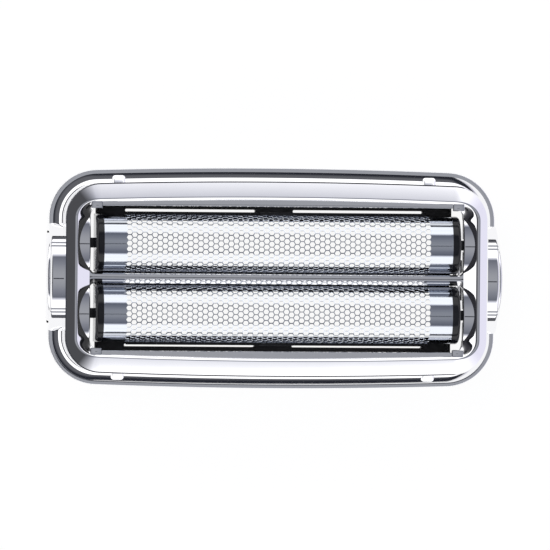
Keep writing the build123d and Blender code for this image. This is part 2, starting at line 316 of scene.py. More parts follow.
def addMesh(bm, part):
    mesh = bpy.data.meshes.new("part")
    part.to_mesh(mesh)
    part.free()
    bm.from_mesh(mesh)
    bpy.data.meshes.remove(mesh)


def mirrored(bm, pieceMaker, signs):  # the same feature in several quarters
    for signX, signY in signs:
        part = bmesh.new()
        pieceMaker(part)
        bmesh.ops.scale(part, vec=(signX, signY, 1), verts=part.verts[:])
        bmesh.ops.recalc_face_normals(part, faces=part.faces[:])
        addMesh(bm, part)


def cutAway(bm, cutter):  # takes the cutter's shape out of a closed shell
    objects = []
    for source in (bm, cutter):
        mesh = bpy.data.meshes.new("cutting")
        source.to_mesh(mesh)
        source.free()
        item = bpy.data.objects.new("cutting", mesh)
        bpy.context.scene.collection.objects.link(item)
        objects.append(item)
    change = objects[0].modifiers.new("cut", "BOOLEAN")
    change.operation = "DIFFERENCE"
    change.solver = "EXACT"
    change.object = objects[1]
    depsgraph = bpy.context.evaluated_depsgraph_get()
    result = bpy.data.meshes.new_from_object(objects[0].evaluated_get(depsgraph))
    cut = bmesh.new()
    cut.from_mesh(result)
    bpy.data.meshes.remove(result)
    for item in objects:
        mesh = item.data
        bpy.data.objects.remove(item)
        bpy.data.meshes.remove(mesh)
    return cut


def bisected(bm, point, away, clear=True):  # cuts through a mesh; clear drops what lies beyond
    everything = bm.verts[:] + bm.edges[:] + bm.faces[:]
    bmesh.ops.bisect_plane(bm, geom=everything, plane_co=point, plane_no=away, clear_outer=clear)


quarters = [(1, 1), (-1, 1), (1, -1), (-1, -1)]
ends = [(1, 1), (-1, 1)]

rim = {
    "length": 54.9,
    "width": 25.3,
    "bow": 0.55,
    "corner": 4.4,
    "cornerSteps": 18,
    "sideSteps": 28,
    "endSteps": 14,
    "skirtOut": 1.78,
    "skirtIn": 0.48,
    "footRound": 0.12,
    "ledge": 4.05,
    "ledgeRound": 0.14,
    "slopeFoot": 1.23,
    "slopeHead": (0.4, 4.82),
    "slopeTilts": (44.0, 41.6),
    "slopeSteps": 8,
    "flange": 5.0,
    "flangeLip": [(0.06, -0.02), (0.015, 0.0), (0.0, 0.06)],
    "under": 3.7,
    "wall": 1.3,
    "wallTop": 12.3,
    "wallChamfer": 0.15,
    "chamferSlope": 0.95,
    "crownFrom": 0.2,
    "crownWidth": 2.05,
    "crownSteps": 8,
    "crest": 13.15,
    "crownBulge": 0.006,
    "crestRound": 0.12,
    "crestSink": 1.08,
    "crestTilt": 21,
    "crestClear": 0.1,
    "stepTilt": 31.0,
    "stepIn": 2.34,
    "stepLip": (0.03, 0.04),
    "stepFoot": [(0.035, 0.08), (0.05, 0.02), (0.1, 0.0)],
    "deckLoops": (2.7, 3.0),
    "deck": 12.7,
    "deckUnder": 11.5,
    "deckRound": 0.08,
    "deckEdge": 3.3,
    "windowEdge": 3.2,
    "endCrest": 1.08,
    "endCrestRound": 0.6,
    "endCrestClear": 0.06,
    "endSlope": 32.0,
    "endSlopeSteps": 7,  # as many as the long sides have points from step to deck
    "endUnder": 10.4,
    "turn": (0.04, 0.9),  # where the corners begin to turn into the ends, and over how much
    "arcSteps": {"foot": 3, "ledge": 5, "crest": 7, "edge": 4},
}


def crownHeight(inset):  # height of the crowned rim, measured in from the rim line
    share = inset / rim["crownWidth"]
    straight = rim["wallTop"] + share * (rim["crest"] - rim["wallTop"])
    return straight + 4 * rim["crownBulge"] * share * (1 - share)


def tiltArc(centre, radius, fromTilt, toTilt, steps):  # a round stretch of the section
    points = []
    for step in range(steps + 1):
        tilt = math.radians(fromTilt + (toTilt - fromTilt) * step / steps)
        points.append((centre[0] + radius * math.sin(tilt), centre[1] + radius * math.cos(tilt)))
    return points


def skirtSection():  # from the inner foot of the skirt up to the top of the wall
    foot, ledgeRound = rim["footRound"], rim["ledgeRound"]
    footSteps, ledgeSteps = rim["arcSteps"]["foot"], rim["arcSteps"]["ledge"]
    points = tiltArc((rim["skirtIn"] + foot, foot), foot, -90, -180, footSteps)
    points += tiltArc((rim["skirtOut"] - foot, foot), foot, 180, 90, footSteps)
    ledgeCentre = (rim["skirtOut"] - ledgeRound, rim["ledge"] - ledgeRound)
    points += tiltArc(ledgeCentre, ledgeRound, 90, 0, ledgeSteps)
    outer, low = rim["slopeFoot"], rim["ledge"]
    inner, high = rim["slopeHead"]
    firstTilt, lastTilt = rim["slopeTilts"]
    steps, rise, climbs = rim["slopeSteps"], 0.0, []
    for step in range(steps):
        tilt = firstTilt + (lastTilt - firstTilt) * (step + 0.5) / steps
        climbs.append(math.tan(math.radians(tilt)))
    points.append((outer, low))
    for step, climb in enumerate(climbs):
        rise += climb / sum(climbs)
        points.append((outer + (inner - outer) * (step + 1) / steps, low + (high - low) * rise))
    points += [(out, rim["flange"] + up) for out, up in rim["flangeLip"]]
    chamfer = rim["wallChamfer"]
    top = crownHeight(chamfer)
    return points + [(0.0, top - rim["chamferSlope"] * chamfer), (-chamfer, top)]


def innerSide():  # crest, step and deck along the long sides
    crestRound, tilt = rim["crestRound"], rim["stepTilt"]
    crest, stepIn, deck = rim["crownWidth"], rim["stepIn"], rim["deck"]
    centre = (-crest, crownHeight(crest) - rim["crestSink"] * crestRound)
    points = tiltArc(centre, crestRound, rim["crestTilt"], -tilt, rim["arcSteps"]["crest"])
    stepLow = points[-1][1] - (stepIn + points[-1][0]) * math.tan(math.radians(tilt))
    lipIn, lipDrop = rim["stepLip"]
    points += [(-stepIn, stepLow), (-stepIn - lipIn, stepLow - lipDrop)]
    points += [(-stepIn - further, deck + up) for further, up in rim["stepFoot"]]
    points += [(-inset, deck) for inset in rim["deckLoops"]]
    edge = rim["deckRound"]
    return points + tiltArc((edge - rim["deckEdge"], deck - edge), edge, 0, -90, rim["arcSteps"]["edge"])


def innerEnd():  # rounded crest and the slope that falls from it, at the ends
    crestRound, slope, edge = rim["endCrestRound"], rim["endSlope"], rim["deckRound"]
    lean = math.radians(rim["crestTilt"])
    start = rim["endCrest"]
    centre = (-start - crestRound * math.sin(lean), crownHeight(start) - crestRound * math.cos(lean))
    points = tiltArc(centre, crestRound, rim["crestTilt"], -slope, rim["arcSteps"]["crest"])
    out, up = points[-1]
    turn = math.radians(slope)
    reach = rim["windowEdge"] - edge + out
    steps = rim["endSlopeSteps"]
    for step in range(1, steps + 1):
        points.append((out - reach * step / steps, up - math.tan(turn) * reach * step / steps))
    low = points[-1]
    centre = (low[0] + edge * math.sin(turn), low[1] - edge * math.cos(turn))
    return points + tiltArc(centre, edge, -slope, -90, rim["arcSteps"]["edge"])


def rimStations():  # the section round the rim: (out, up) on the long sides, and at the ends
    stations = [(point, point) for point in skirtSection()]
    start, steps = rim["crownFrom"], rim["crownSteps"]
    for step in range(steps + 1):
        onSide = start + (rim["crownWidth"] - rim["crestClear"] - start) * step / steps
        onEnd = start + (rim["endCrest"] - rim["endCrestClear"] - start) * step / steps
        stations.append(((-onSide, crownHeight(onSide)), (-onEnd, crownHeight(onEnd))))
    stations += list(zip(innerSide(), innerEnd()))
    stations.append(((-rim["deckEdge"], rim["deckUnder"]), (-rim["windowEdge"], rim["endUnder"])))
    stations.append(((-rim["wall"], rim["deckUnder"]), (-rim["wall"], rim["endUnder"])))
    stations.append(((-rim["wall"], rim["under"]),) * 2)
    stations.append(((rim["skirtIn"], rim["under"]),) * 2)
    return stations


def bowAt(x):  # how far the rim line has drawn in from its widest
    return rim["bow"] * (2 * x / rim["length"]) ** 2


def rimOutline(bm):  # a rounded rectangle with bowed long sides, as one loop of edges
    bmesh.ops.create_grid(bm, x_segments=1, y_segments=1, size=0.5)
    bmesh.ops.scale(bm, vec=(rim["length"], rim["width"] - 2 * rim["bow"], 1), verts=bm.verts[:])
    bevelled(bm, bm.verts[:], rim["corner"], rim["cornerSteps"], "VERTICES")
    for edge in bm.edges[:]:
        span = edge.verts[0].co - edge.verts[1].co
        if abs(span.x) > 2 * rim["corner"]:
            bmesh.ops.subdivide_edges(bm, edges=[edge], cuts=rim["sideSteps"])
        elif abs(span.y) > 2 * rim["corner"]:
            bmesh.ops.subdivide_edges(bm, edges=[edge], cuts=rim["endSteps"])
    for vert in bm.verts:
        share = abs(vert.co.y) / (rim["width"] / 2 - rim["bow"])
        vert.co.y += math.copysign((rim["bow"] - bowAt(vert.co.x)) * share, vert.co.y)
    bmesh.ops.delete(bm, geom=bm.faces[:], context="FACES_ONLY")


def sweptRim():  # carries the section round the outline
    bm = bmesh.new()
    rimOutline(bm)
    order = bm.verts.layers.int.new("order")
    bm.verts.ensure_lookup_table()
    loop = [bm.verts[0]]
    while len(loop) < len(bm.verts):
        nearby = [e.other_vert(loop[-1]) for e in loop[-1].link_edges]
        loop.append(next(v for v in nearby if v not in loop[-2:]))
    if loop[0].co.cross(loop[1].co).z < 0:
        loop.reverse()
    places = [v.co.copy() for v in loop]
    turnFrom, turnOver = rim["turn"]
    outward, endShare = [], []
    for index, vert in enumerate(loop):
        vert[order] = index
        along = places[(index + 1) % len(places)] - places[index - 1]
        away = Vector((along.y, -along.x, 0)).normalized()
        turn = math.degrees(math.atan2(abs(away.x), abs(away.y))) / 90
        turn = min(1.0, max(0.0, (turn - turnFrom) / turnOver))
        outward.append(away)
        endShare.append(turn * turn * (3 - 2 * turn))
    verts, edges = bm.verts[:], bm.edges[:]
    for number, (onSide, onEnd) in enumerate(rimStations()):
        if number:
            verts = newVerts(bmesh.ops.extrude_edge_only(bm, edges=edges)["geom"])
            fresh = set(verts)
            edges = list(dict.fromkeys(e for v in verts for e in v.link_edges if fresh.issuperset(e.verts)))
        straight = min(1.0, max(0.0, (-onSide[0] - rim["stepIn"]) / (rim["deckEdge"] - rim["stepIn"])))
        for vert in verts:
            index = vert[order]
            sideOut = onSide[0] + straight * bowAt(places[index].x)  # the window's edge runs straight
            out = sideOut + (onEnd[0] - sideOut) * endShare[index]
            up = onSide[1] + (onEnd[1] - onSide[1]) * endShare[index]
            vert.co = places[index] + outward[index] * out + Vector((0, 0, up))
    last = set(edges)
    first = [e for e in bm.edges if e.is_boundary and e not in last]
    bmesh.ops.bridge_loops(bm, edges=edges + first)
    bmesh.ops.recalc_face_normals(bm, faces=bm.faces[:])
    return bm


padLow, padHigh = nodeBox("right_release_button")
arch = {
    "buttonHalf": 5.8,
    "buttonTop": padHigh.z,
    "buttonBottom": padLow.z,
    "surroundHalf": 7.0,
    "surroundTop": 10.2,
    "ease": 0.6,
    "play": 0.2,
    "openingStart": 23.45,
    "wallInside": 26.15,
    "surroundFoot": 0.03,
    "surroundRound": 0.35,
    "roundSteps": 5,
    "support": 0.06,  # a loop this far behind the rounding keeps the reflections even
    "grooves": (4.08, 4.5),
    "grooveHalf": 0.11,
    "grooveDepth": 0.12,
    "steps": 48,
    "trim": 0.2,  # share of the shoulder's height where the round is cut off
    "through": 1.0,  # how far cutters reach past what they cut
}
surroundFace = nodeBox("outer_frame")[1].x


def archFace(bm, half, bottom, top, radius):  # an upright outline under a round top, standing at x = 0
    made = bmesh.ops.create_circle(bm, cap_ends=True, radius=radius, segments=4 * arch["steps"])
    quarterTurn(bm, made["verts"], "Y")
    bmesh.ops.translate(bm, verts=made["verts"], vec=(0, 0, top - radius))
    for side in (1, -1):
        bisected(bm, (0, side * half, 0), (0, side, 0))
    low = top - radius + math.sqrt(max(0.0, radius**2 - half**2)) * arch["trim"]
    bisected(bm, (0, 0, low), (0, 0, -1))
    bmesh.ops.holes_fill(bm, edges=bm.edges[:], sides=0)
    for vert in bm.verts:
        if abs(vert.co.z - low) < tiny:
            vert.co.z = bottom
            vert.co.y = math.copysign(half, vert.co.y)


def pushedOut(bm, start, end):  # gives a flat outline a depth along x
    bmesh.ops.translate(bm, verts=bm.verts[:], vec=(start, 0, 0))
    made = bmesh.ops.extrude_face_region(bm, geom=bm.faces[:])["geom"]
    bmesh.ops.translate(bm, verts=newVerts(made), vec=(end - start, 0, 0))
    bmesh.ops.recalc_face_normals(bm, faces=bm.faces[:])


def frontEdges(bm, reach, bottom):  # the edges round a front face, but not along its bottom
    near = [e for e in bm.edges if all(v.co.x > reach - tiny for v in e.verts)]
    return [e for e in near if max(v.co.z for v in e.verts) > bottom + tiny]


tabSlot = {"low": (22.95, 3.75, 6.6), "high": (25.05, 5.35, 11.8)}


def slotCutter(bm):
    block(bm, tabSlot["low"], tabSlot["high"])


def endCutter():  # button openings and guide-tab slots at both ends
    bm = bmesh.new()

    def opening(part):
        half, play = arch["buttonHalf"] + arch["play"], arch["play"]
        archFace(part, half, arch["buttonBottom"] - play, arch["buttonTop"] + play, half + arch["ease"])
        pushedOut(part, arch["openingStart"], surroundFace + arch["through"])

    mirrored(bm, opening, ends)
    mirrored(bm, slotCutter, quarters)
    return bm


def surroundShell(bm):  # the raised arch round a button
    shell = bmesh.new()
    half, top = arch["surroundHalf"], arch["surroundTop"]
    curve = half + arch["ease"]
    archFace(shell, half, arch["surroundFoot"], top, curve)
    pushedOut(shell, arch["wallInside"], surroundFace)
    front = frontEdges(shell, surroundFace, arch["surroundFoot"])
    bevelled(shell, front, arch["surroundRound"], arch["roundSteps"])
    bisected(shell, (surroundFace - arch["surroundRound"] - arch["support"], 0, 0), (1, 0, 0), False)
    shell = cutAway(shell, endCutter())
    lines = bmesh.new()
    start, end = arch["wallInside"] - arch["through"], surroundFace + arch["through"]
    for place in arch["grooves"]:  # fine grip lines on the shoulders
        floor = top - curve + math.sqrt(curve**2 - place**2) - arch["grooveDepth"]
        for side in (1, -1):
            low, high = [side * place + edge * arch["grooveHalf"] for edge in (-1, 1)]
            block(lines, (start, low, floor), (end, high, top + arch["through"]))
    addMesh(bm, cutAway(shell, lines))


hump = {
    "radius": 7.0,
    "half": 3.6,
    "top": 12.6,
    "base": 10.42,
    "start": 24.25,
    "end": 26.35,
    "at": 4.55,
    "steps": 36,
    "round": 0.13,
    "roundSteps": 3,
    "support": 0.05,
}


def humpShell(bm):  # low rounded hump behind a foil's end
    shell = bmesh.new()
    made = bmesh.ops.create_grid(shell, x_segments=2, y_segments=hump["steps"], size=0.5)
    bmesh.ops.scale(shell, vec=(hump["end"] - hump["start"], 2 * hump["half"], 1), verts=made["verts"])
    for vert in made["verts"]:
        vert.co.z = hump["top"] - hump["radius"] + math.sqrt(hump["radius"] ** 2 - vert.co.y**2)
    bmesh.ops.translate(shell, verts=made["verts"], vec=((hump["start"] + hump["end"]) / 2, hump["at"], 0))
    for vert in newVerts(bmesh.ops.extrude_face_region(shell, geom=shell.faces[:])["geom"]):
        vert.co.z = hump["base"]
    bmesh.ops.recalc_face_normals(shell, faces=shell.faces[:])
    lip = [e for e in shell.edges if all(v.co.x < hump["start"] + tiny for v in e.verts)]
    lip = [e for e in lip if all(v.co.z > hump["base"] + tiny for v in e.verts)]
    bevelled(shell, lip, hump["round"], hump["roundSteps"])
    bisected(shell, (hump["start"] + hump["round"] + hump["support"], 0, 0), (1, 0, 0), False)
    cutter = bmesh.new()
    slotCutter(cutter)
    addMesh(bm, cutAway(shell, cutter))


bar = {
    "half": 24.6,
    "width": 1.4,
    "top": 11.75,
    "depth": 1.2,
    "rearRound": 0.28,
    "rearSteps": 8,
    "frontSlope": (0.62, 0.36),
    "frontRound": 0.06,
    "frontSteps": 3,
    "flareFrom": 23.75,
    "flare": 1.6,
    "cuts": 9,
}


def barShell(bm):  # bar between the foils, widening into the ends
    side = bar["width"] / 2
    shell = bmesh.new()
    block(shell, (-bar["half"], -side, bar["top"] - bar["depth"]), (bar["half"], side, bar["top"]))
    run, fall = bar["frontSlope"]
    bisected(shell, (0, run - side, 0), (0, 1, 0), False)
    for vert in shell.verts:
        if vert.co.z > bar["top"] - tiny and vert.co.y < tiny - side:
            vert.co.z -= fall
    upper = [e for e in shell.edges if all(v.co.z > bar["top"] - fall - tiny for v in e.verts)]
    upper = [e for e in upper if abs(e.verts[0].co.x - e.verts[1].co.x) > bar["half"]]
    rear = [e for e in upper if e.verts[0].co.y > side - tiny]
    bevelled(shell, [e for e in upper if e not in rear], bar["frontRound"], bar["frontSteps"])
    bevelled(shell, rear, bar["rearRound"], bar["rearSteps"])
    for cut in range(bar["cuts"]):
        place = bar["flareFrom"] + (bar["half"] - bar["flareFrom"]) * cut / bar["cuts"]
        for end in (1, -1):
            bisected(shell, (end * place, 0, 0), (1, 0, 0), False)
    for vert in shell.verts:
        share = max(0.0, (abs(vert.co.x) - bar["flareFrom"]) / (bar["half"] - bar["flareFrom"]))
        vert.co.y *= 1 + bar["flare"] * share**2
    addMesh(bm, shell)


nub = {
    "low": (19.45, 11.3, 5.55),
    "high": (21.15, 13.3, 7.1),
    "round": 0.4,
    "roundSteps": 5,
    "fall": 0.44,
    "from": 11.6,
}


def nubShell(bm):  # small sloping nub that holds a travel cap
    shell = bmesh.new()
    block(shell, nub["low"], nub["high"], nub["round"], nub["roundSteps"])
    middle = (nub["low"][2] + nub["high"][2]) / 2
    for vert in shell.verts:
        if vert.co.z > middle:
            share = (vert.co.z - middle) / (nub["high"][2] - middle)
            vert.co.z -= nub["fall"] * max(0.0, vert.co.y - nub["from"]) * share
    addMesh(bm, shell)


small = {  # blocks of one quarter: low corner, high corner, easing and its steps
    "deckPad": ((22.75, 9.0, 12.5), (24.25, 9.9, 13.05), 0.12, 3),
    "ribAboveRetainer": ((13.4, 9.55, 6.65), (14.6, 12.0, 11.6), 0.1, 2),
    "catchBelowRetainer": ((12.5, 10.5, 4.25), (15.5, 12.0, 4.95), 0.12, 2),
    "neckRidge": ((7.0, 12.53, 1.0), (11.0, 13.78, 1.8), 0.15, 2),
    "innerTabGuide": ((24.25, 2.6, 8.8), (26.25, 3.75, 10.5), 0.08, 2),
    "outerTabGuide": ((24.25, 5.35, 8.8), (26.25, 6.5, 10.5), 0.08, 2),
    "tabBack": ((25.05, 3.7, 8.8), (26.25, 5.4, 10.5), 0.08, 2),
}


def smallFeatures(bm):  # what one quarter of the frame carries besides
    for shape in small.values():
        block(bm, *shape)
    nubShell(bm)


def buildFrame():
    bm = cutAway(sweptRim(), endCutter())
    mirrored(bm, surroundShell, ends)
    mirrored(bm, humpShell, quarters)
    mirrored(bm, smallFeatures, quarters)
    barShell(bm)
    sharp = seams["frameSharp"]
    return finishPiece("platedHeadFrame", bm, platedFrame, "head", "outer_frame", sharp)


buildFrame()
print("frame built")

foilLow, foilHigh = nodeBox("rear_foil")
foil = {
    "radius": (foilHigh.y - foilLow.y) / 2,
    "offset": (foilHigh.y + foilLow.y) / 2,
    "length": foilHigh.x - foilLow.x,
    "crest": foilHigh.z,
    "foot": foilLow.z,
    "thickness": 0.09,
    "cellSide": 0.4377,
    "bridge": 0.11,
    "holesTo": 19.6,
    "holesRound": 5.75,
    "merge": 0.01,
}


def honeycomb(bm, reach):  # flat sheet of hexagons, holed but for its ends and edges
    stepX, stepV = 1.5 * foil["cellSide"], math.sqrt(3) * foil["cellSide"]
    columns = math.ceil(foil["length"] / 2 / stepX) + 1
    rows = math.ceil(reach / stepV) + 1
    turned = Matrix.Rotation(math.radians(30), 4, "Z")
    for column in range(-columns, columns + 1):
        for row in range(-rows, rows + 1):
            across = (row + 0.5 * (column % 2)) * stepV
            place = Matrix.Translation(((column + 0.5) * stepX, across, 0)) @ turned
            bmesh.ops.create_circle(bm, cap_ends=True, radius=foil["cellSide"], segments=6, matrix=place)
    bmesh.ops.remove_doubles(bm, verts=bm.verts[:], dist=foil["merge"])
    holes, solid = [], []
    for face in bm.faces:
        centre = face.calc_center_median()
        inside = abs(centre.x) < foil["holesTo"] and abs(centre.y) < foil["holesRound"]
        (holes if inside else solid).append(face)
    bmesh.ops.poke(bm, faces=solid)
    bmesh.ops.inset_individual(bm, faces=holes, thickness=foil["bridge"] / 2, use_even_offset=True)
    bmesh.ops.delete(bm, geom=holes, context="FACES")


def buildFoil(name, side, body, node):  # the honeycomb, trimmed and rolled over the arch
    bm = bmesh.new()
    radius, half = foil["radius"], foil["length"] / 2
    axis = foil["crest"] - radius
    quarter = math.pi / 2 * radius
    reach = quarter + axis - foil["foot"]
    honeycomb(bm, reach)
    for sign in (1, -1):
        bisected(bm, (sign * half, 0, 0), (sign, 0, 0))
        bisected(bm, (0, sign * reach, 0), (0, sign, 0))
    for vert in bm.verts:
        run = abs(vert.co.y)
        turn = min(run, quarter) / radius
        vert.co.y = math.copysign(radius * math.sin(turn), vert.co.y)
        vert.co.z = axis + radius * math.cos(turn) - max(0.0, run - quarter)
    bmesh.ops.recalc_face_normals(bm, faces=bm.faces[:])
    if sum(f.normal.z for f in bm.faces) < 0:
        bmesh.ops.reverse_faces(bm, faces=bm.faces[:])
    bmesh.ops.solidify(bm, geom=bm.faces[:], thickness=foil["thickness"])
    bmesh.ops.translate(bm, verts=bm.verts[:], vec=(0, side * foil["offset"], 0))
    return finishPiece(name, bm, foilSheet, body, node, seams["foilSharp"])


for row, side in (("rear", 1), ("front", -1)):
    made = buildFoil(row + "HoneycombFoil", side, row + "_cassette", row + "_foil")
    print(made.name, len(made.data.polygons), "faces")
print("foils built")

carrierLow, carrierHigh = nodeBox("rear_foil_carrier")
foilAxis = foil["crest"] - foil["radius"]
carrier = {
    "capRadius": carrierHigh.z - foilAxis - tiny,  # a hair inside the solid
    "capStart": foilHigh.x,
    "capEnd": 23.65,
    "capRound": 0.42,
    "capSteps": 6,
    "seatRadius": 3.57,
    "blockStart": 20.8,
    "blockOverlap": 0.1,
    "axis": foilAxis,
    "base": carrierLow.z,
    "tabRoot": 0.3,
    "tabHalf": 0.65,
    "tabHeights": (10.2, 11.7),
    "tabEnd": carrierHigh.x,
    "tabEase": 0.12,
    "tabSteps": 3,
    "pocketLow": (21.0, -1.1, 7.4),
    "pocketHigh": (23.2, 1.1, 10.4),
    "railIn": 2.9,
    "railHalf": 21.05,
    "railTop": 10.2,
    "railEase": 0.1,
}


def archedBlock(bm, radius, start, end, rounding):  # half-round top on straight legs, set along x
    archFace(bm, radius, carrier["base"], carrier["axis"] + radius, radius)
    pushedOut(bm, start, end)
    if rounding:
        bevelled(bm, frontEdges(bm, end, carrier["base"]), rounding, carrier["capSteps"])


def buildCarrier(name, side, body, node):  # black caps with their guide tabs, joined by two rails
    bm = bmesh.new()

    def endBlock(part):
        for radius, start, end, rounding in (
            (carrier["capRadius"], carrier["capStart"], carrier["capEnd"], carrier["capRound"]),
            (carrier["seatRadius"], carrier["blockStart"], carrier["capStart"] + carrier["blockOverlap"], 0),
        ):
            shell, pocket = bmesh.new(), bmesh.new()
            archedBlock(shell, radius, start, end, rounding)
            block(pocket, carrier["pocketLow"], carrier["pocketHigh"])
            addMesh(part, cutAway(shell, pocket))
        half, (low, high) = carrier["tabHalf"], carrier["tabHeights"]
        root = (carrier["capEnd"] - carrier["tabRoot"], -half, low)
        block(part, root, (carrier["tabEnd"], half, high), carrier["tabEase"], carrier["tabSteps"])

    def rail(part):
        low = (-carrier["railHalf"], carrier["railIn"], carrier["base"])
        high = (carrier["railHalf"], carrier["seatRadius"], carrier["railTop"])
        block(part, low, high, carrier["railEase"])

    mirrored(bm, endBlock, ends)
    mirrored(bm, rail, [(1, 1), (1, -1)])
    bmesh.ops.translate(bm, verts=bm.verts[:], vec=(0, side * foil["offset"], 0))
    return finishPiece(name, bm, blackGloss, body, node)


stripLow, stripHigh = nodeBox("rear_foil_outer_strip")
strip = {
    "near": stripLow.y - foil["offset"],
    "thick": stripHigh.y - stripLow.y,
    "half": stripHigh.x,
    "foot": stripLow.z,
    "top": nodeBox("rear_foil_inner_strip")[1].z,
    "ease": 0.06,
    "easeSteps": 3,
    "clipHalf": 2.25,
    "clipTop": stripHigh.z,
    "clipIn": 0.01,
    "clipUp": 0.05,
    "clipEase": 0.1,
    "teeth": (-1.4, 0.0, 1.4),
    "toothHalf": 0.35,
    "toothHeights": (10.6, 11.25),
    "toothEase": 0.08,
}


def buildStrip(name, side, outer, body, node):  # strip along a foil edge, the outer one with its clip
    bm = bmesh.new()
    low, high, steps = strip["near"], strip["near"] + strip["thick"], strip["easeSteps"]
    block(bm, (-strip["half"], low, strip["foot"]), (strip["half"], high, strip["top"]), strip["ease"], steps)
    if outer:
        half, clipIn = strip["clipHalf"], strip["clipIn"]
        clipLow = (-half, low + clipIn, strip["foot"] + strip["clipUp"])
        block(bm, clipLow, (half, high - clipIn, strip["clipTop"]), strip["clipEase"], steps)
        half, (toothLow, toothHigh) = strip["toothHalf"], strip["toothHeights"]
        for place in strip["teeth"]:
            corner = (place + half, high, toothHigh)
            block(bm, (place - half, low - clipIn, toothLow), corner, strip["toothEase"], steps)
    bmesh.ops.scale(bm, vec=(1, 1 if outer else -1, 1), verts=bm.verts[:])
    bmesh.ops.translate(bm, verts=bm.verts[:], vec=(0, foil["offset"], 0))
    bmesh.ops.scale(bm, vec=(side, side, 1), verts=bm.verts[:])
    return finishPiece(name, bm, blackGloss, body, node)


for row, side in (("rear", 1), ("front", -1)):
    body = row + "_cassette"
    buildCarrier(row + "CapsAndRails", side, body, row + "_foil_carrier")
    buildStrip(row + "OuterStrip", side, True, body, row + "_foil_outer_strip")
    buildStrip(row + "InnerStrip", side, False, body, row + "_foil_inner_strip")
print("cassettes built")

button = {
    "crown": 48.0,
    "crownDepth": 1.0,
    "bevel": 0.3,
    "bevelSteps": 5,
    "support": 0.06,
    "corner": 1.0,
    "cornerSteps": 10,
    "dishRadius": 9.0,
    "dishSteps": 160,
    "dishLength": 24,
    "dishDepth": 0.5,
    "dishHeight": 3.6,
    "back": 25.55,
    "wingLow": (25.05, padLow.y, 2.0),
    "wingHigh": (26.05, padHigh.y, 7.4),
    "wingEase": 0.12,
    "noseLow": (padLow.x, -3.45, 2.0),
    "noseHigh": (25.25, 3.45, 2.8),
    "noseEase": 0.1,
    "easeSteps": 3,
}
buttonFace = padHigh.x


def buildButton(name, sign, body, node):  # arched pad with a dished face, its stop wings and pushing nose
    bm = bmesh.new()
    half = arch["buttonHalf"]
    archFace(bm, half, arch["buttonBottom"], arch["buttonTop"], half + arch["ease"])
    sides = [v for v in bm.verts if abs(v.co.y) > half - tiny]
    shoulder = max(v.co.z for v in sides)
    corners = [v for v in sides if v.co.z > shoulder - tiny]
    bevelled(bm, corners, button["corner"], button["cornerSteps"], "VERTICES")
    pushedOut(bm, button["back"], buttonFace)
    bevelled(bm, frontEdges(bm, buttonFace, arch["buttonBottom"]), button["bevel"], button["bevelSteps"])
    bisected(bm, (buttonFace - button["bevel"] - button["support"], 0, 0), (1, 0, 0), False)
    for vert in bm.verts:  # the face bulges a little across the head
        if vert.co.x > buttonFace - button["crownDepth"]:
            vert.co.x -= button["crown"] - math.sqrt(button["crown"] ** 2 - vert.co.y**2)
    cutter = bmesh.new()
    radius = button["dishRadius"]
    made = bmesh.ops.create_cone(
        cutter, cap_ends=True, segments=button["dishSteps"], radius1=radius, radius2=radius,
        depth=button["dishLength"],
    )
    quarterTurn(cutter, made["verts"], "X")
    away = buttonFace + radius - button["dishDepth"]
    bmesh.ops.translate(cutter, verts=made["verts"], vec=(away, 0, button["dishHeight"]))
    bm = cutAway(bm, cutter)
    block(bm, button["wingLow"], button["wingHigh"], button["wingEase"], button["easeSteps"])
    block(bm, button["noseLow"], button["noseHigh"], button["noseEase"], button["easeSteps"])
    bmesh.ops.scale(bm, vec=(sign, 1, 1), verts=bm.verts[:])
    return finishPiece(name, bm, platedButton, body, node)


buildButton("rightPressPad", 1, "right_button", "right_release_button")
buildButton("leftPressPad", -1, "left_button", "left_release_button")
print("buttons built")

retainerLow, retainerHigh = nodeBox("cassette_retainer")
retainer = {
    "half": (retainerHigh.x, retainerHigh.y),
    "corner": 1.2,
    "base": 5.0,
    "top": 6.6,
    "window": (20.75, 1.55, 7.55),
    "slot": (2.45, 19.45, 8.6, 8.95),
    "ease": 0.14,
    "easeFrom": 1.2,  # edges that turn by more than this, in radians, are eased
    "easeSteps": 3,
    "cornerSteps": 5,
    "through": 1.0,
    "stopLow": (20.75, 5.65, 6.3),
    "stopHigh": (retainerHigh.x, 8.15, 7.0),
    "stopEase": 0.1,
    "pegAt": (22.1, 4.55),
    "pegHalf": 0.42,
    "pegRoot": 0.3,
    "pegTop": retainerHigh.z,
    "pegEase": 0.12,
    "seatLow": (20.6, -1.6, retainerLow.z),
    "seatHigh": (retainerHigh.x, 1.6, 7.0),
    "seatEase": 0.1,
    "channelLow": (nodeBox("right_button_spring")[0].x, -1.0, 4.8),
}


def retainerHoles(bm):  # cutter windows and rinse slots
    far, near, away = retainer["window"]
    start, end, inner, outer = retainer["slot"]
    below, above = retainer["base"] - retainer["through"], retainer["top"] + retainer["through"]
    for side in (1, -1):
        low, high = sorted((side * near, side * away))
        block(bm, (-far, low, below), (far, high, above))
        low, high = sorted((side * inner, side * outer))
        for slotStart, slotEnd in ((start, end), (-end, -start)):
            block(bm, (slotStart, low, below), (slotEnd, high, above))


def springChannel(bm):  # the room for a button spring
    low, high = retainer["channelLow"], retainer["seatHigh"]
    block(bm, low, (high[0] + retainer["through"], -low[1], high[2] + retainer["through"]))


def springSeat(bm):  # what holds a button spring
    seat, channel = bmesh.new(), bmesh.new()
    block(seat, retainer["seatLow"], retainer["seatHigh"], retainer["seatEase"])
    springChannel(channel)
    addMesh(bm, cutAway(seat, channel))


